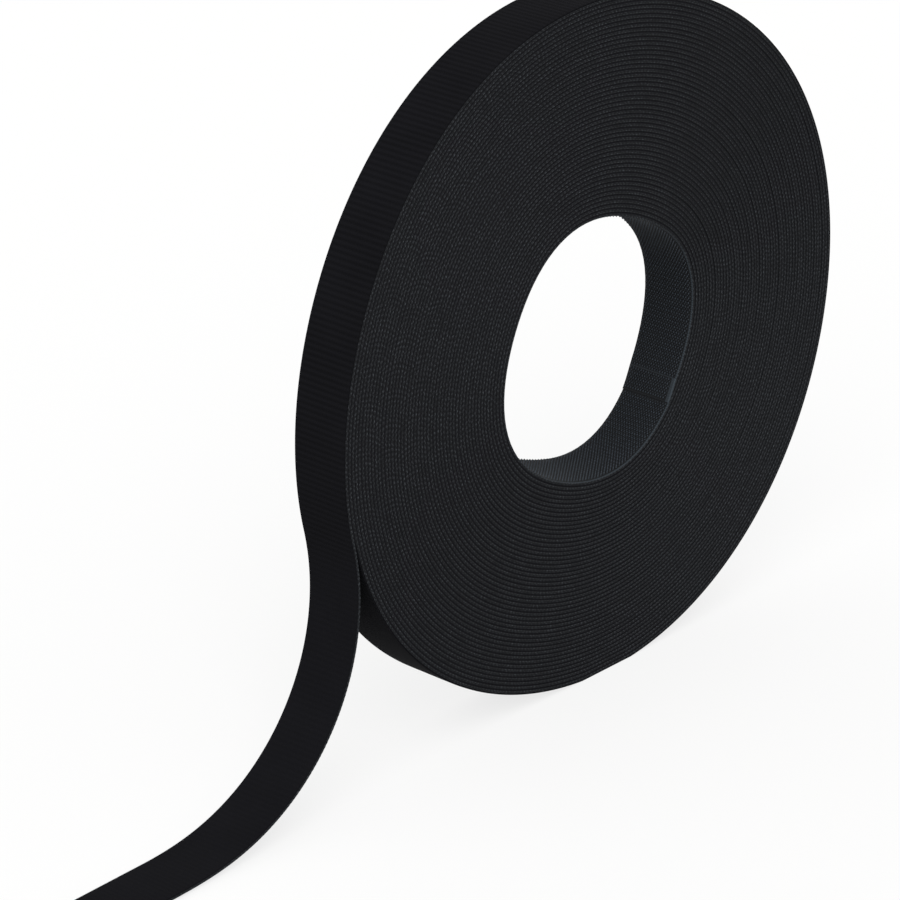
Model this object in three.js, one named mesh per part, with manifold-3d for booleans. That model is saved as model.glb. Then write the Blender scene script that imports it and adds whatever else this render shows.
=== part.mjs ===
// A coreless roll of back-to-back hook and loop tape, standing on its rim with its tail pulled out.
// Millimetres, +Z up. The roll's axis is parallel to Y, the tail runs out towards -X,
// and the origin lies on the floor, below the roll's centre.
import * as THREE from "three";
import { mergeVertices } from "three/addons/utils/BufferGeometryUtils.js";
import Module from "manifold-3d";

// The tape: two plies bonded back to back, the hook ply inside and the loop ply outside.
// One modelled turn stands for two turns of the real, thinner tape.
const tapeWidth = 20;
const hookPlyThickness = 1.02;
const loopPlyThickness = 1.07;
const bondGap = 0.3;
const lapGap = 0.5;

// The winding: angles are degrees round the roll, from +X towards +Z, seen from the front.
// The outermost turn has half steps, and one of them lies level at the bottom.
// The inner end is some whole steps further round than that one.
const boreRadius = 42.3;
const fullTurns = 23;
const stepsPerTurn = 22;
const innerEndSteps = 3;
const peelBelowLevel = 13.5;
const restingFlatDepth = 0.5;

// The tail: it leaves the winding at the peel line and bends outwards until it lies on the floor.
const tailFloorRun = 48;
const tailEndGap = 0.3;
const tailBendSteps = 14;

// The looks: a matt pile outside, and stiff hooks with a slight gloss inside.
const loopLook = { color: 0x19191b, roughness: 0.95, metalness: 0 };
const hookLook = { color: 0x2b3034, roughness: 0.75, metalness: 0 };

// What follows from them
const tapeThickness = hookPlyThickness + bondGap + loopPlyThickness;
const pitch = tapeThickness + lapGap;
const stepAngle = 360 / stepsPerTurn;
const halfStep = stepAngle / 2;
const innerEndAngle = -90 + halfStep / 2 + stepAngle * innerEndSteps;
const peelAngle = 180 + peelBelowLevel + 360 * fullTurns;
const hookPly = { from: 0, to: hookPlyThickness };
const loopPly = { from: hookPlyThickness + bondGap, to: tapeThickness };

const radians = THREE.MathUtils.degToRad;

function polar(radius, angle) {
  const turn = radians(angle);
  return new THREE.Vector2(radius * Math.cos(turn), radius * Math.sin(turn));
}

function hookFaceRadius(angle) {
  return boreRadius + (pitch * (angle - innerEndAngle)) / 360;
}

function windingAngles() {
  const outermostTurn = peelAngle - 360;
  const angles = [];
  let angle = innerEndAngle;
  while (angle < peelAngle) {
    angles.push(angle);
    angle += angle < outermostTurn ? stepAngle : halfStep;
  }
  angles.push(peelAngle);
  return angles;
}

// A ply's two faces as points of the XZ plane, round the roll's centre.
function woundFaces(ply) {
  return windingAngles().map((angle) => ({
    inner: polar(hookFaceRadius(angle) + ply.from, angle),
    outer: polar(hookFaceRadius(angle) + ply.to, angle),
  }));
}

// The roll's centre stands this high once the lowest turn is cut flat.
const lowestPoint = Math.min(...woundFaces(loopPly).map((station) => station.outer.y));
const centreHeight = -lowestPoint - restingFlatDepth;

// The bend is one arc, tangent to the winding at the peel line and to the floor.
const peelRadius = hookFaceRadius(peelAngle);
const peelSine = Math.sin(radians(peelAngle));
const bendRadius = (centreHeight + peelRadius * peelSine) / (1 - peelSine);
const bendCentre = polar(peelRadius + bendRadius, peelAngle);

function tailFaces(ply) {
  const setBack = THREE.MathUtils.radToDeg(tailEndGap / (bendRadius - tapeThickness));
  const firstAngle = peelBelowLevel - setBack;
  const faces = [];
  for (let k = 0; k <= tailBendSteps; k++) {
    const angle = THREE.MathUtils.lerp(firstAngle, -90, k / tailBendSteps);
    faces.push({
      inner: polar(bendRadius - ply.from, angle).add(bendCentre),
      outer: polar(bendRadius - ply.to, angle).add(bendCentre),
    });
  }
  const floorEnd = new THREE.Vector2(-tailFloorRun, 0);
  const last = faces[faces.length - 1];
  faces.push({ inner: last.inner.clone().add(floorEnd), outer: last.outer.clone().add(floorEnd) });
  return faces;
}

// A flat strip as wide as the tape, four corners at each station and a cap at each end.
function stripGeometry(stations) {
  const half = tapeWidth / 2;
  const positions = [];
  const index = [];
  stations.forEach(({ inner, outer }) => {
    positions.push(inner.x, -half, inner.y, outer.x, -half, outer.y);
    positions.push(outer.x, half, outer.y, inner.x, half, inner.y);
  });
  const addQuad = (a, b, c, d) => index.push(a, b, c, a, c, d);
  for (let k = 0; k < stations.length - 1; k++) {
    for (let side = 0; side < 4; side++) {
      const next = (side + 1) % 4;
      addQuad(4 * k + side, 4 * k + next, 4 * k + 4 + next, 4 * k + 4 + side);
    }
  }
  const end = 4 * (stations.length - 1);
  addQuad(3, 2, 1, 0);
  addQuad(end, end + 1, end + 2, end + 3);
  const geometry = new THREE.BufferGeometry();
  geometry.setAttribute("position", new THREE.Float32BufferAttribute(positions, 3));
  geometry.setIndex(index);
  return geometry;
}

// The least distance between one strip's outer face and the inner face of the turns outside it.
function leastTurnGap(innerStrip, outerStrip) {
  const withMiddles = (points) =>
    points.flatMap((point, k) =>
      k ? [points[k - 1].clone().lerp(point, 0.5), point] : [point],
    );
  const outerFace = withMiddles(innerStrip.map((station) => station.outer));
  const innerFace = withMiddles(outerStrip.map((station) => station.inner));
  let least = Infinity;
  outerFace.forEach((point, k) => {
    for (let j = k + stepsPerTurn; j < innerFace.length; j++) {
      least = Math.min(least, point.distanceTo(innerFace[j]));
    }
  });
  return least;
}

const wasm = await Module();
wasm.setup();

function solidOf(geometry) {
  const bare = geometry.clone();
  bare.deleteAttribute("normal");
  bare.deleteAttribute("uv");
  const merged = mergeVertices(bare);
  const vertProperties = merged.getAttribute("position").array;
  const triVerts = new Uint32Array(merged.index.array);
  return new wasm.Manifold(new wasm.Mesh({ numProp: 3, vertProperties, triVerts }));
}

function cutBy(geometry, cutter) {
  const mesh = solidOf(geometry).subtract(solidOf(cutter)).getMesh();
  const cut = new THREE.BufferGeometry();
  cut.setAttribute("position", new THREE.BufferAttribute(mesh.vertProperties, 3));
  cut.setIndex(new THREE.BufferAttribute(mesh.triVerts, 1));
  return cut;
}

// Everything below the level that the roll rests on
function belowRestingFlat() {
  const rollDiameter = 2 * (peelRadius + tapeThickness);
  const block = new THREE.BoxGeometry(rollDiameter, 2 * tapeWidth, rollDiameter);
  return block.translate(0, 0, -centreHeight - rollDiameter / 2);
}

function pieceOf(name, geometry, look) {
  const mesh = new THREE.Mesh(geometry, new THREE.MeshStandardMaterial(look));
  mesh.name = name;
  mesh.geometry.computeVertexNormals();
  return mesh;
}

const hookWound = woundFaces(hookPly);
const loopWound = woundFaces(loopPly);
const turnGaps = {
  "hook ply to itself": leastTurnGap(hookWound, hookWound),
  "loop ply to itself": leastTurnGap(loopWound, loopWound),
  "loop ply to the hook ply outside it": leastTurnGap(loopWound, hookWound),
};
Object.entries(turnGaps).forEach(([pair, gap]) => {
  console.log(`least gap, ${pair}: ${gap.toFixed(3)} mm`);
});

const loopWoundCut = cutBy(stripGeometry(loopWound), belowRestingFlat());

const tapeRoll = new THREE.Group();
tapeRoll.position.z = centreHeight;
tapeRoll.add(
  pieceOf("hook_ply_wound", stripGeometry(hookWound), hookLook),
  pieceOf("loop_ply_wound", loopWoundCut, loopLook),
  pieceOf("hook_ply_tail", stripGeometry(tailFaces(hookPly)), hookLook),
  pieceOf("loop_ply_tail", stripGeometry(tailFaces(loopPly)), loopLook),
);

const roll = new THREE.Group();
roll.add(tapeRoll);

export default roll;
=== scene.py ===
import math
import bpy
import numpy as np
from mathutils import Matrix, Vector


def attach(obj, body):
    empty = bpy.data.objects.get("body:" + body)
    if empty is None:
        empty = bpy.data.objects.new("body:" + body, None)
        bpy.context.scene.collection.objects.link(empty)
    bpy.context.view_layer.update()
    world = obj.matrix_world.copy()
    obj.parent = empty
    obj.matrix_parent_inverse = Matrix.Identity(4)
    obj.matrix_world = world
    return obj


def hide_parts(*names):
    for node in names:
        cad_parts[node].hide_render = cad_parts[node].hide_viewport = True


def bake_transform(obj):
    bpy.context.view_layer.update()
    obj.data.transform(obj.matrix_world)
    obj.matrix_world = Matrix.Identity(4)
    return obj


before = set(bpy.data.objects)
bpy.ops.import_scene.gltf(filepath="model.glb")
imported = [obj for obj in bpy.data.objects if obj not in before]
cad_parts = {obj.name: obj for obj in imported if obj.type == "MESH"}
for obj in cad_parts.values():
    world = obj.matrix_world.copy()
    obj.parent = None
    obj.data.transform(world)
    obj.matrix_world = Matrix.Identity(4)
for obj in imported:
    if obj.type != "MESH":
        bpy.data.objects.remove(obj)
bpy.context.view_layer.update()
scene = bpy.context.scene
scene.view_settings.view_transform = "Standard"
mm = 0.001  # measures below are millimetres unless a note says otherwise, the scene is in metres
print("frame loaded:", sorted(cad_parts))

bakeTile = 179.0  # 121 weft turns of the hook ply and 100 of the loop ply: one tile of a baked picture

# The tape: hook ground cloth inside, loop ground cloth laminated on it, pile on the outside.
# Levels are heights above the hook ground's inner face.
tape = {
    "halfWidth": 10.0,
    "hookGround": 0.40,
    "loopFrom": 0.38,             # the plies are pressed into each other, so no light shows between
    "loopGround": 0.86,
    "pileTop": 1.33,
    "top": 1.37,                  # crown of the pile's ribs
    "pileHalfWidth": 9.8,         # the rest of the width is a bare selvedge
    "edgeRound": 0.12,            # the selvedge is rounded off over this height
    "edgeInset": 0.156,           # and this width
    "hookWeft": bakeTile / 121,   # weft turns along the hook ply's selvedge
    "loopWeft": bakeTile / 100,   # and along the loop ply's, with its rows of loops
    "scallop": 0.05,              # they draw the open selvedge in by up to twice this
}

# The winding: angles are degrees round the roll, from +X towards +Z
winding = {
    "boreRadius": 42.32,          # hook ground's inner face where the tape starts
    "innerEnd": -40.5,
    "fullTurns": 49,
    "peelBelowLevel": 14.17,
    "peelRadius": 111.1,          # hook ground's inner face at the peel line
    # a soft roll is out of round: cosine and sine of one to four waves round it
    "boreFrontWaves": [(-0.19, 0.38), (0.59, 0.07), (0.25, -0.02), (0.11, 1.03)],
    "boreRearWaves": [(0.54, 0.61), (1.04, -0.52), (-0.21, -0.26), (-0.08, 1.30)],
    "rimWaves": [(0.32, -0.04), (0.75, -0.30), (0.08, -0.43), (-0.29, 0.67)],
    # its laps don't lie exactly edge to edge: size, waves in a turn, and shift in radians
    "sideWaves": [(0.03, 0.31, 0.4), (0.03, 0.173, 2.1), (0.02, 0.437, 1.2), (0.015, 0.613, 5.0),
                  (0.015, 1.7, 0.0)],
    "centreHeight": 109.45,
    "lapPress": 0.02,             # a turn's pile is pressed that far into the hook ground outside it
    "chordError": 0.026,          # how far a step may cut the curve
    "squeeze": 0.93,              # share of the depth left where the roll stands
    "sealedEnd": 7.7,             # the inner end is pressed thin over this length
    "sealedShare": 0.15,          # down to this share of its thickness
}
peelAngle = 180 + winding["peelBelowLevel"] + 360 * winding["fullTurns"]
windingBuild = winding["peelRadius"] - winding["boreRadius"]
turnPitch = windingBuild * 360 / (peelAngle - winding["innerEnd"])
print("turn pitch", round(turnPitch, 4), "mm")


# Camera, at the photograph's angle
shot = {
    "azimuth": -47.187,           # degrees, as the next two
    "elevation": 23.637,
    "roll": -0.441,
    "focal": 4213.0,              # in pixels of a picture 900 wide
    "picture": 900.0,
    "sensor": 36.0,
    "distance": 1277.2,           # to the middle of the roll's front side
    "middleAt": (601.67, 350.14),
    "clip": (0.05, 50.0),         # in metres
}


def makeCamera():
    az, el, tilt = (math.radians(shot[k]) for k in ("azimuth", "elevation", "roll"))
    right = Vector((math.cos(az), math.sin(az), 0))
    back = Vector((math.sin(az) * math.cos(el), -math.cos(az) * math.cos(el), math.sin(el)))
    up = back.cross(right)
    across = right * math.cos(tilt) + up * math.sin(tilt)
    upright = up * math.cos(tilt) - right * math.sin(tilt)
    middle = Vector((0, -tape["halfWidth"], winding["centreHeight"]))
    perPixel = shot["distance"] / shot["focal"]
    half = shot["picture"] / 2
    place = middle + back * shot["distance"]
    place -= across * (shot["middleAt"][0] - half) * perPixel
    place -= upright * (half - shot["middleAt"][1]) * perPixel
    data = bpy.data.cameras.new("photo_camera")
    data.sensor_width = shot["sensor"]
    data.lens = shot["focal"] / shot["picture"] * shot["sensor"]
    data.clip_start, data.clip_end = shot["clip"]
    camera = bpy.data.objects.new("photo_camera", data)
    turn = Matrix((across, upright, back)).transposed()
    camera.matrix_world = Matrix.Translation(place * mm) @ turn.to_4x4()
    scene.collection.objects.link(camera)
    scene.camera = camera


makeCamera()
print("camera set")


# Shapes of the winding and the tail, as arrays
samples = {"winding": 20001, "lengths": 4001, "bend": 600}  # points on which the curves are worked out


def runningSum(values, steps=1.0):
    # the area under a row of values, up to each of them
    return np.concatenate([[0], np.cumsum((values[1:] + values[:-1]) / 2 * steps)])


def woundRadius(angle):
    return winding["boreRadius"] + turnPitch * (angle - winding["innerEnd"]) / 360


def woundLength(angle):
    # tape length from the inner end
    turned = np.radians(np.asarray(angle, float) - winding["innerEnd"])
    growth = turnPitch / (2 * math.pi)
    return winding["boreRadius"] * turned + growth * turned ** 2 / 2


def woundAngle(length, first, last):
    # the angle at a tape length, between two angles
    fine = np.linspace(first, last, samples["lengths"])
    return np.interp(length, woundLength(fine), fine)


def outOfRound(angle, radius, across):
    turn = np.radians(angle)
    outward = np.clip((radius - winding["boreRadius"]) / windingBuild, 0, 1)
    rearward = 0.5 + 0.5 * across / tape["halfWidth"]
    front, rear, rim = (
        sum(a * np.cos(k * turn) + b * np.sin(k * turn) for k, (a, b) in enumerate(winding[waves], 1))
        for waves in ("boreFrontWaves", "boreRearWaves", "rimWaves")
    )
    return (1 - outward) * ((1 - rearward) * front + rearward * rear) + outward * rim


def lapRoom(angle):
    # how far the next turn's hook ground lies above this one's, at the further edge
    edges = np.array([[-tape["halfWidth"], tape["halfWidth"]]])
    angle = np.asarray(angle, float)[:, None]
    shaped = [woundRadius(a) + outOfRound(a, woundRadius(a), edges) for a in (angle, angle + 360)]
    return (shaped[1] - shaped[0]).max(1) + winding["lapPress"]


def sideways(angle):
    turn = np.radians(angle)
    return sum(size * np.sin(rate * turn + shift) for size, rate, shift in winding["sideWaves"])


def woundPlaces(angle, level, across):
    # angle has one value for each station, level and across a section's points or a row for each station
    angle = np.asarray(angle, float)[:, None]
    unsealed = np.clip(woundLength(angle) / winding["sealedEnd"], 0, 1)
    thick = winding["sealedShare"] + (1 - winding["sealedShare"]) * unsealed
    radius = woundRadius(angle) + tape["pileTop"] - (tape["pileTop"] - level) * thick
    turn = np.radians(angle)
    shaped = radius + outOfRound(angle, radius, across)
    x = shaped * np.cos(turn)
    z = shaped * np.sin(turn) + winding["centreHeight"]
    outermost = peelAngle - np.mod(peelAngle - angle, 360)
    depth = woundRadius(outermost) + tape["top"] - radius
    z = np.maximum(z, winding["squeeze"] * depth)
    y = across + sideways(angle) + 0 * radius
    return np.stack([x, y, z], -1)


def woundStations(first, last):
    # a step of t radians cuts the curve by radius * t * t / 8, here by the chord error
    fine = np.linspace(first, last, samples["winding"])
    density = np.sqrt(woundRadius(fine) / (8 * winding["chordError"]))
    count = runningSum(density, np.diff(np.radians(fine)))
    steps = int(math.ceil(count[-1]))
    return np.interp(np.linspace(0, count[-1], steps + 1), count, fine)


tail = {
    "endAt": -222.0,              # where the cut end lies, along X
    "hookStand": 0.8,             # the tail lies on its hooks
    "fineStep": tape["loopWeft"] / 6,
    "leanOut": 1.55,              # it leaves the round that many degrees outwards
    "ease": 7.3,                  # its bend fades out at the floor, the more suddenly the higher this is
    "skew": 0.046,                # it runs out a little towards the front
    "drift": -0.7e-4,             # and less so with each millimetre
    "settle": 6.0,                # it turns that way over about this length
    "twist": -2.4,                # degrees at the middle of the bend
    "lead": 9.0,                  # its strips start that far before the peel line, to bend there
    "brushedOver": 15.0,          # its pile is brushed flat from the peel line on, fully after this length
}
leaveAngle = winding["peelBelowLevel"] - tail["leanOut"]
leavePoint = woundPlaces([peelAngle], np.array([[0.0]]), np.array([[0.0]]))[0, 0]


def bendLine(steps):
    # the bend from the peel line to the floor: length, X, Z and the way its outside faces
    share = np.linspace(0, 1, steps)
    power = tail["ease"] + 1
    done = (share - share ** power / power) * power / tail["ease"]
    turn = np.radians(leaveAngle - (leaveAngle + 90) * done)
    run = runningSum(np.sin(turn))
    drop = runningSum(-np.cos(turn))
    scale = (tail["hookStand"] - leavePoint[2]) / drop[-1]
    return scale * np.arange(steps), leavePoint[0] + scale * run, leavePoint[2] + scale * drop, turn


bend = bendLine(samples["bend"])
bendLength = bend[0][-1]
tailLength = bendLength + bend[1][-1] - tail["endAt"]
boreEnd, peelLength = woundLength([winding["innerEnd"] + 360, peelAngle])  # tape lengths
woundEnd = peelAngle - math.degrees(tail["lead"] / woundRadius(peelAngle))  # the tail's strips go on here
tailStations = np.append(np.arange(-tail["lead"], tailLength, tail["fineStep"]), tailLength)
print("tail", round(tailLength, 1), "mm, of which", round(bendLength, 1), "mm are bent")


def tailTurn(distance):
    return np.interp(distance, bend[0], bend[3])


def tailPlaces(distance, level, across):
    # distance is measured from the peel line
    distance = np.asarray(distance, float)[:, None]
    turn = tailTurn(distance)
    twist = math.radians(tail["twist"]) * np.sin(math.pi * np.clip(distance / bendLength, 0, 1))
    side = across * np.cos(twist) - level * np.sin(twist)
    rise = across * np.sin(twist) + level * np.cos(twist)
    eased = distance ** 2 / (distance + tail["settle"])
    slope = -(tail["skew"] + 2 * tail["drift"] * distance) * distance / (distance + tail["settle"])
    x = np.interp(distance, bend[0], bend[1]) - np.maximum(distance - bendLength, 0)
    x = x - rise * np.cos(turn) - side * slope * np.sin(turn)
    z = np.interp(distance, bend[0], bend[2]) - rise * np.sin(turn) + side * slope * np.cos(turn)
    y = side + float(sideways(peelAngle)) - tail["skew"] * eased - tail["drift"] * distance ** 2
    return np.stack([x, y, z], -1)


def peeledPlaces(distance, level, across):
    # before the peel line the tail's strips lie on the winding
    distance = np.asarray(distance, float)
    angle = peelAngle + np.degrees(np.minimum(distance, 0) / woundRadius(peelAngle))
    wound = woundPlaces(angle, level, across)
    free = tailPlaces(np.maximum(distance, 0), level, across)
    return np.where((distance < 0)[:, None, None], wound, free)


smoothUpTo = {"cloth": 30, "pile": 50, "wire": 70}  # degrees; a sharper edge is shaded as an edge


def makeObject(name, places, faces, smoothAngle):
    mesh = bpy.data.meshes.new(name)
    mesh.from_pydata((np.asarray(places) * mm).tolist(), [], faces)
    mesh.validate()
    mesh.shade_smooth()
    mesh.set_sharp_from_angle(angle=math.radians(smoothAngle))
    piece = bpy.data.objects.new(name, mesh)
    scene.collection.objects.link(piece)
    return piece


def addPointValues(piece, name, values):
    layer = piece.data.attributes.new(name, "FLOAT", "POINT")
    layer.data.foreach_set("value", np.asarray(values, np.float32).ravel())


def makeStrip(name, places, along, level, across, slotOf, materials, smoothAngle):
    # a closed strip: rings of section points, joined, with a cap at each end
    stations, ring = places.shape[:2]
    index = np.arange(stations * ring).reshape(stations, ring)
    after = np.roll(index, -1, axis=1)
    quads = np.stack([index[:-1], after[:-1], after[1:], index[1:]], -1).reshape(-1, 4)
    faces = quads.tolist() + [index[0, ::-1].tolist(), index[-1].tolist()]
    piece = makeObject(name, places.reshape(-1, 3), faces, smoothAngle)
    mesh = piece.data
    level = np.broadcast_to(level, (stations, ring))
    across = np.broadcast_to(across, (stations, ring))
    addPointValues(piece, "along", np.repeat(along, ring))
    addPointValues(piece, "level", level)
    addPointValues(piece, "across", across)
    for material in materials:
        mesh.materials.append(material)
    slots = np.concatenate([np.tile(slotOf, stations - 1), [0, 0]]).astype(np.int32)
    mesh.polygons.foreach_set("material_index", slots)
    # picture map: along the tape, and round the section of its last station
    levelSteps = np.diff(level[-1], append=level[-1, :1])
    acrossSteps = np.diff(across[-1], append=across[-1, :1])
    walk = np.hypot(levelSteps, acrossSteps)
    v = np.concatenate([[0], np.cumsum(walk)]) / walk.sum()
    u = along / bakeTile
    cornerU = np.stack([u[:-1], u[:-1], u[1:], u[1:]], -1)[:, None, :] * np.ones((1, ring, 1))
    cornerV = np.stack([v[:-1], v[1:], v[1:], v[:-1]], -1)[None] * np.ones((stations - 1, 1, 1))
    walls = np.stack([cornerU, cornerV], -1).reshape(-1, 2)
    firstCap = np.stack([np.full(ring, u[0]), v[-2::-1]], -1)
    lastCap = np.stack([np.full(ring, u[-1]), v[:-1]], -1)
    layer = mesh.uv_layers.new(name="OFBake", do_init=False)
    corners = np.concatenate([walls, firstCap, lastCap])
    layer.uv.foreach_set("vector", corners.astype(np.float32).ravel())
    return piece


# Materials
def toLinear(hexColour):
    parts = [int(hexColour[i:i + 2], 16) / 255 for i in (1, 3, 5)]
    return tuple(c / 12.92 if c <= 0.04045 else ((c + 0.055) / 1.055) ** 2.4 for c in parts) + (1.0,)


def addNode(tree, kind, settings=None, links=None, output=0):
    # settings are an input's value, by number or name, or else one of the node's own; gives back one output
    node = tree.nodes.new("ShaderNode" + kind)
    for key, value in (settings or {}).items():
        if isinstance(key, int) or key in node.inputs:
            node.inputs[key].default_value = value
        else:
            setattr(node, key, value)
    for key, source in (links or {}).items():
        tree.links.new(source, node.inputs[key])
    return node.outputs[output] if len(node.outputs) else None


def newMaterial(name, roughness, specular):
    material = bpy.data.materials.new(name)
    material.use_nodes = True
    tree = material.node_tree
    tree.nodes.clear()
    surface = addNode(tree, "BsdfPrincipled", {"Roughness": roughness, "Specular IOR Level": specular})
    addNode(tree, "OutputMaterial", links={"Surface": surface})
    return material, tree, surface.node


def tapeCoordinates(tree):
    # millimetres along and across the tape, from the mesh, and both with the level as one place
    along, across, level = (
        addNode(tree, "Attribute", {"attribute_name": name}, output="Fac")
        for name in ("along", "across", "level")
    )
    place = addNode(tree, "CombineXYZ", links={0: along, 1: across, 2: level})
    return along, across, place


def stripes(tree, source, pitch, shift=None):
    # a wave from 0 to 1 with that pitch in millimetres
    turns = addNode(tree, "Math", {"operation": "MULTIPLY", 1: 2 * math.pi / pitch}, {0: source})
    if shift is not None:
        turns = addNode(tree, "Math", {"operation": "ADD"}, {0: turns, 1: shift})
    wave = addNode(tree, "Math", {"operation": "SINE"}, {0: turns})
    return addNode(tree, "Math", {"operation": "MULTIPLY_ADD", 1: 0.5, 2: 0.5}, {0: wave})


hookCloth = {
    "weft": tape["hookWeft"],
    "body": "#141517",            # between the rows of hooks
    "raised": "#1E2023",          # tops of the weave
    "bare": "#394046",            # bare selvedge margin, where it is open to view; its pale colour is a painted highlight
    # edge colours: the light on its beads is a painted highlight, its brightest specks painted glints
    "edgeDark": "#1C1D1F",
    "edgeLight": "#343639",
    "edgeGlint": "#464A4E",
    "roughness": 0.7,
    "specular": 0.1,
    "bareFrom": -9.35,            # on the knitted selvedge only, which is the front one, the edge that holds the painted highlight
}
loopCloth = {
    "weft": tape["loopWeft"],
    "body": "#141416",
    "raised": "#1A1A1D",
    # colour of the bare margin, with its painted highlight
    "bare": "#19191B",
    # edge colours: the light on its beads is a painted highlight, its brightest specks painted glints
    "edgeDark": "#1E1F21",
    "edgeLight": "#292B2E",
    "edgeGlint": "#3C3E42",
    "roughness": 0.8,
    "specular": 0.05,
    "bareFrom": -9.3,
}
# what both ground cloths share
weave = {
    "yarn": 0.62,                 # real yarns are about 0.3 mm apart; drawn at twice that so that they show
    "bump": 0.6,
    "bumpDepth": 0.12,
    "marginFade": 0.15,           # the bare margin's inner line is that soft to both sides
    "marginLight": 0.45,          # share of the bare colour, a painted highlight, between its weft turns
    "turnLight": 0.6,             # and what the weft turns add
    "sealHalf": 0.2,              # half the width of the painted highlight line where the sealed end stops
    "sealHighlight": 0.3,
    "sealFade": 0.3,
    "cornerFrom": 1.2,            # the sealed end's front corner is light this far past the margin
    "cornerFull": 1.0,
    "cornerLight": 0.5,
    "openFade": 4.0,              # the margin goes dark over this length, where laps cover it
    "edgeFrom": 9.86,             # the selvedge's edge starts that far from the middle
    "edgeFull": 9.95,
    "wander": 5.0,                # its weft turns wander over this length,
    "wanderBy": 4.0,              # by up to that many radians
    "patch": 9.0,                 # they are faint or strong in patches of this size
    "patchNoise": (0.35, 0.65),   # noise at which they are
    "patchLight": (0.3, 1.3),     # this faint and this strong
    "beadPower": 1.7,             # makes the light on each narrower
    "glint": 0.55,                # size of the brightest painted glints
    "glintNoise": (0.54, 0.74),   # noise at which they start and are full
}


def bareShare(tree, look, along, across, weft):
    # how much of the bare colour, a painted highlight, is laid on: its front margin, the line at the sealed
    # end and that end's front corner
    sealAt = winding["sealedEnd"]
    soft = weave["marginFade"]
    line = look["bareFrom"]
    margin = addNode(tree, "MapRange", {"From Min": line + soft, "From Max": line - soft}, {0: across})
    turnLight = {"operation": "MULTIPLY_ADD", 1: weave["turnLight"], 2: weave["marginLight"]}
    turns = addNode(tree, "Math", turnLight, {0: weft})
    margin = addNode(tree, "Math", {"operation": "MULTIPLY"}, {0: margin, 1: turns})
    # painted highlight along the line where the sealed end stops
    seal = addNode(tree, "Math", {"operation": "COMPARE", 1: sealAt, 2: weave["sealHalf"]}, {0: along})
    pressedRange = {"From Min": sealAt, "From Max": sealAt - weave["sealFade"]}
    pressed = addNode(tree, "MapRange", pressedRange, {0: along})
    cornerRange = {"From Min": line + weave["cornerFrom"], "From Max": line + weave["cornerFull"]}
    corner = addNode(tree, "MapRange", cornerRange, {0: across})
    corner = addNode(tree, "Math", {"operation": "MULTIPLY"}, {0: pressed, 1: corner})
    sealHighlight = {"operation": "MULTIPLY_ADD", 1: weave["sealHighlight"]}
    light = addNode(tree, "Math", sealHighlight, {0: seal, 2: margin})
    cornerLight = {"operation": "MULTIPLY_ADD", 1: weave["cornerLight"], "use_clamp": True}
    light = addNode(tree, "Math", cornerLight, {0: corner, 2: light})
    # that painted highlight shows in the bore and on the tail, and between the laps the cloth is dark
    boreRange = {"From Min": boreEnd, "From Max": boreEnd + weave["openFade"], "To Min": 1.0, "To Max": 0.0}
    inBore = addNode(tree, "MapRange", boreRange, {0: along})
    tailRange = {"From Min": peelLength - weave["openFade"], "From Max": peelLength}
    onTail = addNode(tree, "MapRange", tailRange, {0: along})
    isOpen = addNode(tree, "Math", {"operation": "MAXIMUM"}, {0: inBore, 1: onTail})
    return addNode(tree, "Math", {"operation": "MULTIPLY"}, {0: light, 1: isOpen})


def beadedEdge(tree, look, along, place):
    # beads of the weft turns, a little uneven in place and in strength: their height, and their colour with
    # a painted highlight and painted glints
    loose = addNode(tree, "TexNoise", {"Scale": 1 / weave["wander"], "Detail": 1.0}, {"Vector": place})
    patchy = addNode(tree, "TexNoise", {"Scale": 1 / weave["patch"], "Detail": 2.0}, {"Vector": place})
    single = addNode(tree, "TexNoise", {"Scale": 1 / weave["glint"], "Detail": 0.0}, {"Vector": place})
    shift = addNode(tree, "Math", {"operation": "MULTIPLY", 1: weave["wanderBy"]}, {0: loose})
    bead = stripes(tree, along, look["weft"], shift)
    patchRange = dict(zip(("From Min", "From Max"), weave["patchNoise"]))
    patchRange.update(zip(("To Min", "To Max"), weave["patchLight"]))
    strength = addNode(tree, "MapRange", patchRange, {0: patchy})
    narrow = addNode(tree, "Math", {"operation": "POWER", 1: weave["beadPower"]}, {0: bead})
    beaded = addNode(tree, "Math", {"operation": "MULTIPLY"}, {0: narrow, 1: strength})
    edgeColours = {"data_type": "RGBA", 6: toLinear(look["edgeDark"]), 7: toLinear(look["edgeLight"])}
    edge = addNode(tree, "Mix", edgeColours, {0: beaded}, 2)
    glintRange = dict(zip(("From Min", "From Max"), weave["glintNoise"]))
    bright = addNode(tree, "MapRange", glintRange, {0: single})
    glint = addNode(tree, "Math", {"operation": "MULTIPLY"}, {0: bright, 1: bead})
    glintColour = {"data_type": "RGBA", 7: toLinear(look["edgeGlint"])}
    return addNode(tree, "Mix", glintColour, {0: glint, 6: edge}, 2), bead


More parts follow.
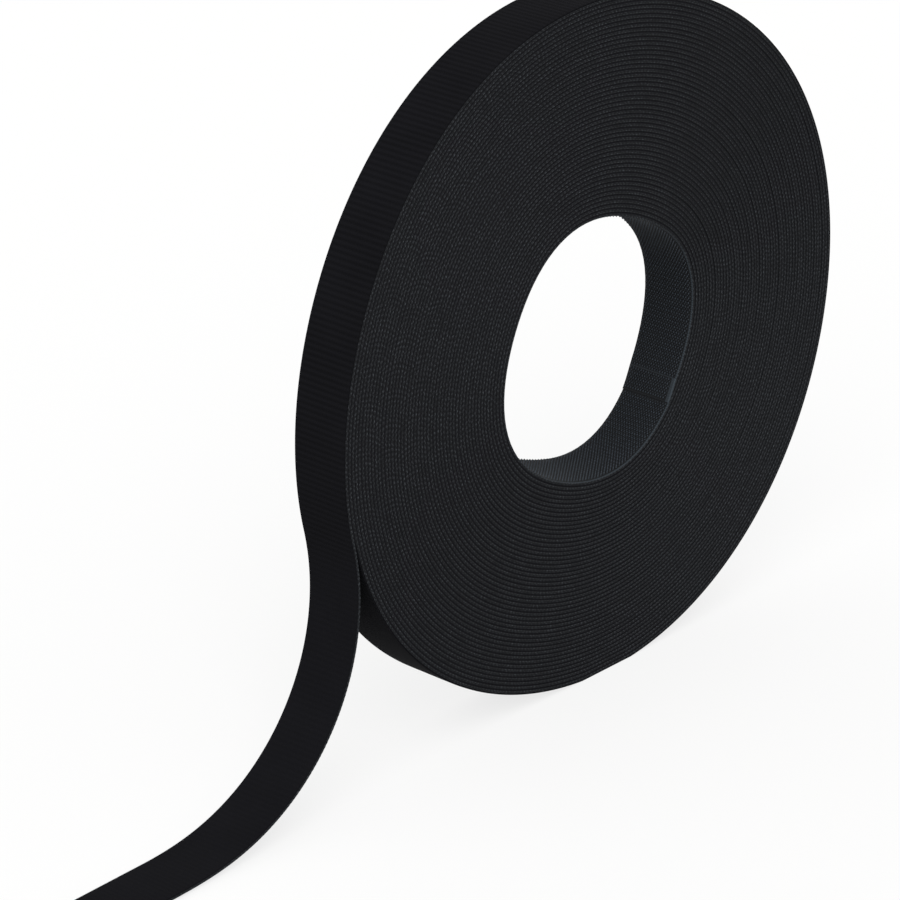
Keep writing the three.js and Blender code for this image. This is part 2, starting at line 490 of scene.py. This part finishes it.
def wovenNylon(name, look):
    # Dyed nylon ground, plain woven: fine squares of yarn, and a row of weft turns on each edge,
    # which catch the light as beads, drawn in its colour as a painted highlight.
    material, tree, shader = newMaterial(name, look["roughness"], look["specular"])
    along, across, place = tapeCoordinates(tree)
    warp = stripes(tree, across, weave["yarn"])
    weft = stripes(tree, along, look["weft"] / 2)
    yarns = addNode(tree, "Math", {"operation": "MULTIPLY"}, {0: warp, 1: weft})
    bodyColours = {"data_type": "RGBA", 6: toLinear(look["body"]), 7: toLinear(look["raised"])}
    body = addNode(tree, "Mix", bodyColours, {0: yarns}, 2)
    isBareHighlight = bareShare(tree, look, along, across, weft)
    face = addNode(tree, "Mix", {"data_type": "RGBA", 7: toLinear(look["bare"])}, {0: isBareHighlight, 6: body}, 2)
    edge, bead = beadedEdge(tree, look, along, place)
    fromMiddle = addNode(tree, "Math", {"operation": "ABSOLUTE"}, {0: across})
    edgeRange = {"From Min": weave["edgeFrom"], "From Max": weave["edgeFull"]}
    isEdge = addNode(tree, "MapRange", edgeRange, {0: fromMiddle})
    colour = addNode(tree, "Mix", {"data_type": "RGBA"}, {0: isEdge, 6: face, 7: edge}, 2)
    height = addNode(tree, "Mix", {"data_type": "FLOAT"}, {0: isEdge, 2: yarns, 3: bead})
    relief = {"Strength": weave["bump"], "Distance": weave["bumpDepth"] * mm}
    bump = addNode(tree, "Bump", relief, {"Height": height})
    tree.links.new(colour, shader.inputs["Base Color"])
    tree.links.new(bump, shader.inputs["Normal"])
    return material


loopPile = {
    "deep": "#0E0E10",
    "tips": "#17171A",
    "roughness": 0.95,
    "specular": 0.02,
    "sheen": 0.012,               # the nap is lighter where it is seen along
    "sheenRoughness": 0.4,
    "fibre": 0.35,                # real loops are about 0.1 mm; drawn coarser so that they show
    "bump": 0.5,
    "bumpDepth": 0.1,
    "wear": 18.0,                 # size of patches with a lighter nap
    "wearShare": 0.5,
    "napRange": (0.45, 1.35),     # sum of fibre, rows and wear for the deep and the tips
    "rows": 0.45,
    "tailRows": 0.15,             # brushed flatter where the tape has been pulled open, and drawn lighter there
    "tailLift": 0.26,
}
pressedPilePaintedLight = {**loopPile, "deep": "#17171A", "tips": "#1F1F22", "sheen": 0.0}  # squeezed between the laps, where only its sides show; lighter than the open pile: painted light that lifts the shade there


def brushedLoops(name, look):
    # Knitted nylon loops, brushed: a dull nap that swallows light, in faint rows across the tape
    material, tree, shader = newMaterial(name, look["roughness"], look["specular"])
    along, _, place = tapeCoordinates(tree)
    fibre = addNode(tree, "TexNoise", {"Scale": 1 / look["fibre"], "Detail": 3.0}, {"Vector": place})
    worn = addNode(tree, "TexNoise", {"Scale": 1 / look["wear"], "Detail": 2.0}, {"Vector": place})
    row = stripes(tree, along, tape["loopWeft"])
    brushed = {"From Min": peelLength, "From Max": peelLength + tail["brushedOver"]}
    rowsRange = {**brushed, "To Min": look["rows"], "To Max": look["tailRows"]}
    rows = addNode(tree, "MapRange", rowsRange, {0: along})
    lift = addNode(tree, "MapRange", {**brushed, "To Max": look["tailLift"]}, {0: along})
    nap = addNode(tree, "Math", {"operation": "ADD"}, {0: fibre, 1: lift})
    nap = addNode(tree, "Math", {"operation": "MULTIPLY_ADD"}, {0: row, 1: rows, 2: nap})
    nap = addNode(tree, "Math", {"operation": "MULTIPLY_ADD", 1: look["wearShare"]}, {0: worn, 2: nap})
    napRange = dict(zip(("From Min", "From Max"), look["napRange"]))
    share = addNode(tree, "MapRange", napRange, {0: nap})
    napColours = {"data_type": "RGBA", 6: toLinear(look["deep"]), 7: toLinear(look["tips"])}
    colour = addNode(tree, "Mix", napColours, {0: share}, 2)
    relief = {"Strength": look["bump"], "Distance": look["bumpDepth"] * mm}
    bump = addNode(tree, "Bump", relief, {"Height": fibre})
    tree.links.new(colour, shader.inputs["Base Color"])
    tree.links.new(bump, shader.inputs["Normal"])
    shader.inputs["Sheen Weight"].default_value = look["sheen"]
    shader.inputs["Sheen Roughness"].default_value = look["sheenRoughness"]
    return material


hookLook = {
    "dark": "#2B2F34",
    "light": "#3C434B",
    "roughness": 0.5,
    "specular": 0.2,
}


def drawnMonofilament(name, look):
    # Drawn nylon monofilament, cut and heat set: smooth round wires with a small bright streak
    material, tree, shader = newMaterial(name, look["roughness"], look["specular"])
    # shade: random tone from hook to hook, with painted shade on the back rows
    shade = addNode(tree, "Attribute", {"attribute_name": "shade"}, output="Fac")
    wireColours = {"data_type": "RGBA", 6: toLinear(look["dark"]), 7: toLinear(look["light"])}
    colour = addNode(tree, "Mix", wireColours, {0: shade}, 2)
    tree.links.new(colour, shader.inputs["Base Color"])
    return material


hookClothMaterial = wovenNylon("wovenNylonHookGround", hookCloth)
loopClothMaterial = wovenNylon("wovenNylonLoopGround", loopCloth)
pileMaterial = brushedLoops("brushedNylonLoops", loopPile)
pressedPaintedLightMaterial = brushedLoops("pressedNylonLoopsPaintedLight", pressedPilePaintedLight)
filamentMaterial = drawnMonofilament("drawnNylonHooks", hookLook)
print("materials made")


# Sections of the two plies
def groundSection(low, high):
    # the cut of a flat woven tape with softly rounded selvedges, walked once round
    half, bevel = tape["halfWidth"], tape["edgeRound"]
    inset = half - tape["edgeInset"]
    level = [low, low, low + bevel, high - bevel, high, high, high - bevel, low + bevel]
    across = [-inset, inset, half, half, inset, -inset, -half, -half]
    return np.array(level), np.array(across)


beforePile = 5  # points of that walk up to the start of the outer face, which the pile stands on


def loopSection(pileLevel, pileAcross):
    # ground cloth with the pile's points on its outer face, and the material slot of each side
    level, across = groundSection(tape["loopFrom"], tape["loopGround"])
    stations, piles = pileLevel.shape
    ones = np.ones((stations, 1))
    joined = [
        np.concatenate([ground[None, :beforePile] * ones, pile, ground[None, beforePile:] * ones], 1)
        for ground, pile in ((level, pileLevel), (across, pileAcross))
    ]
    slots = [0] * beforePile + [1] * (piles - 1) + [0] * (len(level) - beforePile + 1)
    return joined[0], joined[1], slots


# The wound hook ply: one unbroken strip of ground cloth
def makeWoundHookPly():
    angle = woundStations(winding["innerEnd"], woundEnd)
    level, across = groundSection(0.0, tape["hookGround"])
    places = woundPlaces(angle, level[None], across[None])
    piece = makeStrip("wound_hook_ply", places, woundLength(angle), level, across, [0] * len(level),
                      [hookClothMaterial], smoothUpTo["cloth"])
    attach(piece, "roll")
    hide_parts("hook_ply_wound")
    print("wound hook ply:", len(angle), "stations")


# The wound loop ply: ground cloth with the pile on its outer face, lower under the ribbed rim
woundPile = {
    "rimSink": 0.2,               # how much lower, and narrower to each side
    "edgeGap": 0.06,              # between the laps its sides stand that far inside the cloth's flat
    "footOut": 0.05,              # their foot stands out that far
    "shoulder": 0.1,              # they are rounded off at the top over this height
    "topIn": 0.15,                # and this width
}


def makeWoundLoopPly():
    angle = woundStations(winding["innerEnd"], woundEnd)
    isRim = angle > peelAngle - 360
    # between the laps the pile is squeezed out to the edges and fills the room
    top = np.where(isRim, tape["pileTop"] - woundPile["rimSink"], lapRoom(angle))
    flat = tape["halfWidth"] - tape["edgeInset"]
    nap = np.where(isRim, tape["pileHalfWidth"] - woundPile["rimSink"], flat - woundPile["edgeGap"])
    foot = np.full_like(top, tape["loopGround"])
    shoulder = top - woundPile["shoulder"]
    footAcross = nap + woundPile["footOut"]
    topAcross = nap - woundPile["topIn"]
    pileLevel = np.stack([foot, shoulder, top, top, shoulder, foot], 1)
    pileAcross = np.stack([footAcross, nap, topAcross, -topAcross, -nap, -footAcross], 1)
    level, across, slots = loopSection(pileLevel, pileAcross)
    places = woundPlaces(angle, level, across)
    piece = makeStrip("wound_loop_ply", places, woundLength(angle), level, across, slots,
                      [loopClothMaterial, pressedPaintedLightMaterial], smoothUpTo["cloth"])
    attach(piece, "roll")
    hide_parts("loop_ply_wound")
    print("wound loop ply:", len(angle), "stations")


# The pile that is open to view, on the rim and the tail: rows of loops across the tape
ribs = {
    "columns": 20,
    "height": 0.05,
    "valley": 0.01,               # the rows' foot lies that far below the pile's top
    "unevenness": 0.2,            # from loop to loop
    "unevenWaves": [(2.3, 1.9), (-1.3, 0.77)],  # radians for each millimetre across and along
    "tailShare": 0.4,             # of the height is left where the tail is brushed
    "edgeWidth": 0.6,             # the rows run out over this width at the pile's edges,
    "edgeFall": 0.06,             # which lie that much lower
    "sideOut": 0.06,              # the foot of its sides stands out that far
    "rimFoot": 0.95,              # level at which the rim's pile ends, inside the wound ply's own
}


def ribbedTop(along, across):
    row = np.abs(np.sin(math.pi * along / tape["loopWeft"]))[:, None]
    first, second = (np.sin(a * across + b * along[:, None]) for a, b in ribs["unevenWaves"])
    uneven = 1 - ribs["unevenness"] + ribs["unevenness"] * first * second
    brushedAt = [peelLength, peelLength + tail["brushedOver"]]
    brushed = np.interp(along, brushedAt, [1.0, ribs["tailShare"]])[:, None]
    inEdge = np.abs(across) - tape["pileHalfWidth"] + ribs["edgeWidth"]
    crown = 1 - np.clip(inEdge / ribs["edgeWidth"], 0, 1) ** 2
    rise = ribs["height"] * row * brushed * uneven * crown
    return tape["pileTop"] - ribs["valley"] + rise - ribs["edgeFall"] * (1 - crown)


def pileSection(along, foot):
    # the ribbed pile over one row of columns, with its sides down to the foot's level
    nap = tape["pileHalfWidth"]
    columns = np.linspace(nap, -nap, ribs["columns"])[None] * np.ones((len(along), 1))
    side = np.full((len(along), 1), nap + ribs["sideOut"])
    under = np.full((len(along), 1), foot)
    level = np.concatenate([under, ribbedTop(along, columns), under], 1)
    across = np.concatenate([side, columns, -side], 1)
    return level, across


def makeRimPile():
    first, last = woundLength([peelAngle - 360, woundEnd])
    along = np.arange(first, last, tail["fineStep"])
    angle = np.append(woundAngle(along, peelAngle - 361, peelAngle), woundEnd)
    along = np.append(along, last)
    level, across = pileSection(along, ribs["rimFoot"])
    places = woundPlaces(angle, level, across)
    piece = makeStrip("rim_loop_pile", places, along, level, across, [0] * level.shape[1],
                      [pileMaterial], smoothUpTo["pile"])
    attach(piece, "roll")
    print("rim pile:", len(along), "stations")


makeWoundHookPly()
makeWoundLoopPly()
makeRimPile()


# The free tail: both plies bend out of the peel line and lie on the floor
peelBend = {
    "from": -8.0,                 # lengths from the peel line, before it and after it
    "to": 4.4,                    # as behind it
    "level": 0.6,                 # both are taken at this height in the tape
    "hooksFrom": -5.0,           # hooks further back stay buried in the pile below
}


def bendTail(piece):
    ends = [peelBend["from"], peelBend["to"]]
    start, onward = peeledPlaces(ends, np.full((2, 1), peelBend["level"]), np.zeros((2, 1)))[:, 0] * mm
    onward[1] = start[1]
    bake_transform(piece)


def scalloped(along, across, weft):
    # the weft turns draw the selvedge in and out
    wave = tape["scallop"] * np.sin(2 * math.pi * along / weft)[:, None]
    isEdge = np.abs(across) >= tape["halfWidth"]
    return across + np.sign(across) * isEdge * (wave - tape["scallop"])


def makeTailHookPly():
    level, across = groundSection(0.0, tape["hookGround"])
    along = peelLength + tailStations
    places = peeledPlaces(tailStations, level[None], scalloped(along, across[None], tape["hookWeft"]))
    piece = makeStrip("tail_hook_ply", places, along, level, across, [0] * len(level),
                      [hookClothMaterial], smoothUpTo["cloth"])
    bendTail(piece)
    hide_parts("hook_ply_tail")
    print("tail hook ply:", len(along), "stations")


def makeTailLoopPly():
    along = peelLength + tailStations
    level, across, slots = loopSection(*pileSection(along, tape["loopGround"]))
    places = peeledPlaces(tailStations, level, scalloped(along, across, tape["loopWeft"]))
    piece = makeStrip("tail_loop_ply", places, along, level, across, slots,
                      [loopClothMaterial, pileMaterial], smoothUpTo["pile"])
    bendTail(piece)
    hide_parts("loop_ply_tail")
    print("tail loop ply:", len(along), "stations")


makeTailHookPly()
makeTailLoopPly()


# Hooks: a short stem with a bent wire on it, which hooks both ways along the tape
hooks = {
    "rowPitch": tape["hookWeft"] / 2,
    "columnPitch": 1.08,
    "columns": 17,
    "thickness": 0.3,
    "sides": 3,
    "head": [(-0.25, 0.28), (-0.13, 0.44), (0.13, 0.44), (0.25, 0.28)],  # along the tape and out from it
    "stem": [(0.0, -0.04), (0.0, 0.44)],
    "sizes": (0.92, 1.05),
    "lean": 0.08,                 # spread of their lean along the tape, as a slope
    "backRow": 0.8,               # every other row is bent back: lower, and it catches less light, painted as shade in its colour
    "frontShade": 0.5,            # front rows are shaded from this to 1, back rows from 0 to the rest
    "sealedHeight": 0.9,          # hooks are pressed down a little on the sealed end
    "sealedBare": -8.3,           # none stand on its front corner, up to this far across,
    "sealLine": 0.45,             # nor this close to the line where the seal ends
    "endBare": 0.65,              # or to the cut
    "seed": 5,
}


def hookGrid(length, skip):
    # every other row is set over by half a column
    rows = np.arange(skip + 0.5 * hooks["rowPitch"], length, hooks["rowPitch"])
    row, column = np.meshgrid(np.arange(len(rows)), np.arange(hooks["columns"]), indexing="ij")
    setOver = 0.25 - 0.5 * (row % 2)
    across = (column - (hooks["columns"] - 1) / 2 + setOver) * hooks["columnPitch"]
    return rows[row].ravel(), across.ravel(), row.ravel() % 2


def makeWire(path, foot, out, forth):
    # one bent wire on each foot, as a tube with closed ends
    sides = hooks["sides"]
    path = np.array(path)
    step = np.gradient(path, axis=0)
    step /= np.linalg.norm(step, axis=1)[:, None]
    sideway = np.array([0.0, 1.0, 0.0])
    rings = []
    for (a, b), (da, db) in zip(path, step):
        centre = foot + a * forth + b * out
        normal = da * out - db * forth
        for k in range(sides):
            turn = 2 * math.pi * k / sides
            fromCentre = math.cos(turn) * normal + math.sin(turn) * sideway
            rings.append(centre + hooks["thickness"] / 2 * fromCentre)
    places = np.stack(rings, 1)
    ring = np.arange(sides)
    after = np.roll(ring, -1)
    last = sides * (len(path) - 1)
    walls = [
        np.stack([first + ring, first + after, first + sides + after, first + sides + ring], -1)
        for first in range(0, last, sides)
    ]
    return places, np.concatenate(walls), [ring[::-1], last + ring]


def makeHooks(name, foot, out, forth, height, isBack):
    # foot is each hook's place, out points away from the cloth, forth along the tape
    rng = np.random.default_rng(hooks["seed"])
    size = rng.uniform(*hooks["sizes"], (len(foot), 1)) * np.where(isBack, hooks["backRow"], 1.0)[:, None]
    lean = rng.normal(0, hooks["lean"], (len(foot), 1))
    upright = (out + lean * forth) * size * height[:, None]
    wires = [makeWire(hooks[part], foot, upright, forth * size) for part in ("stem", "head")]
    places = np.concatenate([wire[0] for wire in wires], 1)
    base = np.arange(len(foot))[:, None, None] * places.shape[1]
    faces, first = [], 0
    for wire, walls, ends in wires:
        for corners in [walls] + [end[None] for end in ends]:
            faces += (base + first + corners[None]).reshape(-1, corners.shape[1]).tolist()
        first += wire.shape[1]
    piece = makeObject(name, places.reshape(-1, 3), faces, smoothUpTo["wire"])
    # random tone for each hook, and painted shade on the back rows
    shade = rng.uniform(hooks["frontShade"], 1, len(foot)) - hooks["frontShade"] * isBack
    addPointValues(piece, "shade", np.repeat(shade, places.shape[1]))
    piece.data.materials.append(filamentMaterial)
    print(name, len(foot), "hooks")
    return piece


def makeBoreHooks():
    along, across, isBack = hookGrid(boreEnd, hooks["endBare"])
    stands = (along > winding["sealedEnd"]) | (across > hooks["sealedBare"])
    stands &= np.abs(along - winding["sealedEnd"]) > hooks["sealLine"]
    along, across, isBack = along[stands], across[stands], isBack[stands]
    angle = woundAngle(along, winding["innerEnd"], winding["innerEnd"] + 360)
    foot = woundPlaces(angle, np.zeros((len(angle), 1)), across[:, None])[:, 0]
    turn = np.radians(angle)
    out = -np.stack([np.cos(turn), 0 * turn, np.sin(turn)], -1)
    forth = np.stack([-np.sin(turn), 0 * turn, np.cos(turn)], -1)
    height = np.where(along < winding["sealedEnd"], hooks["sealedHeight"], 1.0)
    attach(makeHooks("bore_hooks", foot, out, forth, height, isBack), "roll")


def makeTailHooks():
    along, across, isBack = hookGrid(tailLength, peelBend["hooksFrom"])
    foot = peeledPlaces(along, np.zeros((len(along), 1)), across[:, None])[:, 0]
    turn = tailTurn(along)
    out = np.stack([np.cos(turn), 0 * turn, np.sin(turn)], -1)
    forth = np.stack([np.sin(turn), 0 * turn, -np.cos(turn)], -1)
    bendTail(makeHooks("tail_hooks", foot, out, forth, np.ones_like(along), isBack))


makeBoreHooks()
makeTailHooks()


# Floor and light
studio = {
    "floor": "#F2F2F1",
    "bounce": "#C4C4C3",          # the floor's colour for the light that it throws back
    "floorRoughness": 0.9,
    "floorSpecular": 0.0,
    "floorSize": 12.0,            # metres from its middle to each edge
    "floorGlow": 0.76,            # share of plain white in the floor that the camera sees
    "sky": 0.82,                  # its light on the object; the camera sees it white
    "sun": 1.45,
    "sunSize": 50.0,              # degrees across, for a soft shadow
    "sunFrom": (-0.7, -0.5, 0.8),
}


def seenRay(tree):
    # 1 for what the camera sees, directly, mirrored or through glass
    ray = addNode(tree, "LightPath").node.outputs
    indirect = {0: ray["Is Glossy Ray"], 1: ray["Is Transmission Ray"]}
    mirrored = addNode(tree, "Math", {"operation": "MAXIMUM"}, indirect)
    return addNode(tree, "Math", {"operation": "MAXIMUM"}, {0: ray["Is Camera Ray"], 1: mirrored})


def makeFloor():
    mesh = bpy.data.meshes.new("floor")
    s = studio["floorSize"]
    mesh.from_pydata([(-s, -s, 0), (s, -s, 0), (s, s, 0), (-s, s, 0)], [], [(0, 1, 2, 3)])
    floor = bpy.data.objects.new("floor", mesh)
    scene.collection.objects.link(floor)
    # Matt white painted board, with part of its brightness its own, so that it shows white
    roughness, specular = studio["floorRoughness"], studio["floorSpecular"]
    material, tree, shader = newMaterial("mattWhiteBoard", roughness, specular)
    toOutput = shader.outputs[0].links[0].to_socket
    seen = seenRay(tree)
    boardColours = {"data_type": "RGBA", 6: toLinear(studio["bounce"]), 7: toLinear(studio["floor"])}
    paint = addNode(tree, "Mix", boardColours, {0: seen}, 2)
    tree.links.new(paint, shader.inputs["Base Color"])
    glow = addNode(tree, "Emission", {"Strength": 1.0})
    share = addNode(tree, "Math", {"operation": "MULTIPLY", 1: studio["floorGlow"]}, {0: seen})
    both = addNode(tree, "MixShader", links={0: share, 1: shader.outputs[0], 2: glow})
    tree.links.new(both, toOutput)
    mesh.materials.append(material)


def makeLight():
    world = bpy.data.worlds.new("soft_sky")
    scene.world = world
    world.use_nodes = True
    tree = world.node_tree
    tree.nodes.clear()
    level = addNode(tree, "MapRange", {"To Min": studio["sky"], "To Max": 1.0}, {0: seenRay(tree)})
    sky = addNode(tree, "Background", {"Color": (1, 1, 1, 1)}, {"Strength": level})
    addNode(tree, "OutputWorld", links={"Surface": sky})
    sun = bpy.data.lights.new("soft_key", "SUN")
    sun.energy = studio["sun"]
    sun.angle = math.radians(studio["sunSize"])
    lamp = bpy.data.objects.new("soft_key", sun)
    lamp.rotation_mode = "QUATERNION"
    lamp.rotation_quaternion = Vector(studio["sunFrom"]).to_track_quat("Z", "Y")
    scene.collection.objects.link(lamp)


makeFloor()
makeLight()
print("floor and light set")
